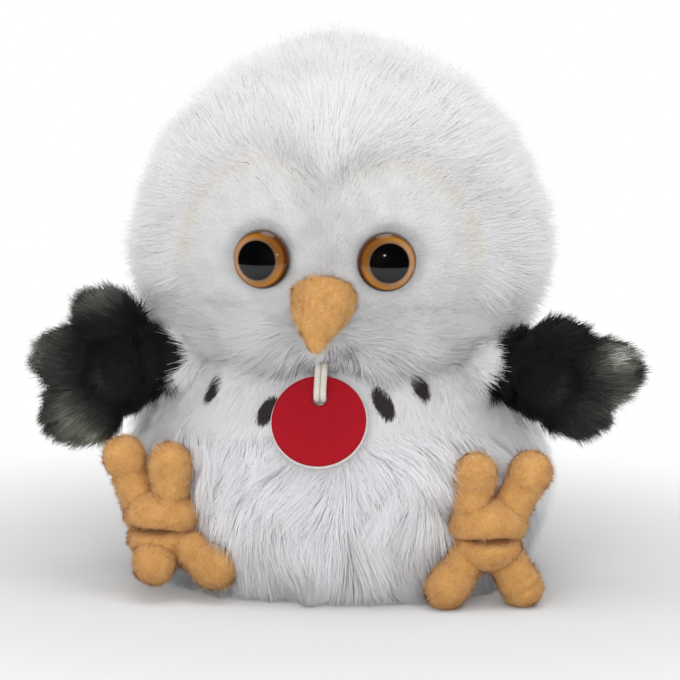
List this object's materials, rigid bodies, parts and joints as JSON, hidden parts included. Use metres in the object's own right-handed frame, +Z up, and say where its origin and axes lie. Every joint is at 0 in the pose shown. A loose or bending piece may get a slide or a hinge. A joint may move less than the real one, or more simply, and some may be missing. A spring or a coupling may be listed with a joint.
{
  "type": "plush owl",
  "caption": "Round sitting plush owl chick in long white pile, with glossy amber eyes, a felt beak, black wings, splayed golden feet and a round tag on a cord.",
  "frame": {"origin": "middle of the overall box, on the table under the base panel", "axes": "+Z up, the face looks along -Y, +X is to the right as seen from the front"},
  "size_m": [0.2416, 0.1748, 0.22],
  "materials": {
    "white_pile": "long white plush pile",
    "face_pile": "short off-white plush pile",
    "black_pile": "medium black plush pile",
    "gold_felt": "soft golden fleece felt",
    "red_felt": "red woven felt",
    "white_felt": "white felt",
    "cord": "twisted off-white cotton cord",
    "amber_lens": "clear acrylic dome tinted amber from behind",
    "black_plastic": "polished black moulding",
    "washer_plastic": "natural moulded plastic",
    "fibre": "white polyester fibre",
    "calico": "unbleached calico"
  },
  "bodies": {
    "owl": {"eye_left_lens": "amber_lens", "eye_left_post": "black_plastic", "eye_left_washer": "washer_plastic", "eye_right_lens": "amber_lens", "eye_right_post": "black_plastic", "eye_right_washer": "washer_plastic", "tag_cord_root": "cord", "head_gusset": "white_pile", "head_side_left": "white_pile", "face_left": "face_pile", "cheek_left": "white_pile", "head_side_right": "white_pile", "face_right": "face_pile", "cheek_right": "white_pile", "head_stuffing": "fibre", "beak": "gold_felt", "chest_panel": "white_pile", "belly_panel": "white_pile", "back_panel_left": "white_pile", "back_panel_right": "white_pile", "base_panel": "white_pile", "pellet_bag": "calico", "body_stuffing": "fibre", "foot_left_lower_pad": "gold_felt", "foot_left_toe_3": "gold_felt", "foot_left_toe_4": "gold_felt", "foot_right_lower_pad": "gold_felt", "foot_right_toe_3": "gold_felt", "foot_right_toe_4": "gold_felt"},
    "wing_left": {"wing_left_front": "black_pile", "wing_left_back": "black_pile"},
    "wing_right": {"wing_right_front": "black_pile", "wing_right_back": "black_pile"},
    "foot_left_upper": {"foot_left_upper_pad": "gold_felt", "foot_left_toe_1": "gold_felt", "foot_left_toe_2": "gold_felt"},
    "foot_right_upper": {"foot_right_upper_pad": "gold_felt", "foot_right_toe_1": "gold_felt", "foot_right_toe_2": "gold_felt"},
    "tag_cord": {"tag_cord": "cord", "tag_knot": "cord"},
    "tag": {"tag_face": "red_felt", "tag_backing": "white_felt"}
  },
  "joints": [
    {"name": "wing_left_swing", "type": "hinge", "parent": "owl", "child": "wing_left", "pos_m": [-0.049, -0.02957, 0.094], "axis": [0, 0, 1], "range_deg": [-12, 50], "stiffness_Nm_per_rad": 0.006},
    {"name": "wing_right_swing", "type": "hinge", "parent": "owl", "child": "wing_right", "pos_m": [0.049, -0.02957, 0.094], "axis": [0, 0, -1], "range_deg": [-12, 50], "stiffness_Nm_per_rad": 0.006},
    {"name": "foot_left_fold", "type": "hinge", "parent": "owl", "child": "foot_left_upper", "pos_m": [-0.065, -0.05808, 0.0278], "axis": [0.9613, -0.2756, 0], "range_deg": [0, 30], "stiffness_Nm_per_rad": 0.03},
    {"name": "foot_right_fold", "type": "hinge", "parent": "owl", "child": "foot_right_upper", "pos_m": [0.065, -0.05808, 0.0278], "axis": [0.9613, 0.2756, 0], "range_deg": [0, 30], "stiffness_Nm_per_rad": 0.03},
    {"name": "tag_lift", "type": "hinge", "parent": "owl", "child": "tag_cord", "pos_m": [-0.0015, -0.06026, 0.09463], "axis": [-1, 0, 0], "range_deg": [0, 60]},
    {"name": "tag_swing", "type": "hinge", "parent": "tag_cord", "child": "tag", "pos_m": [-0.0015, -0.06217, 0.08107], "axis": [0, -0.8804, 0.4742], "range_deg": [-25, 25]}
  ]
}
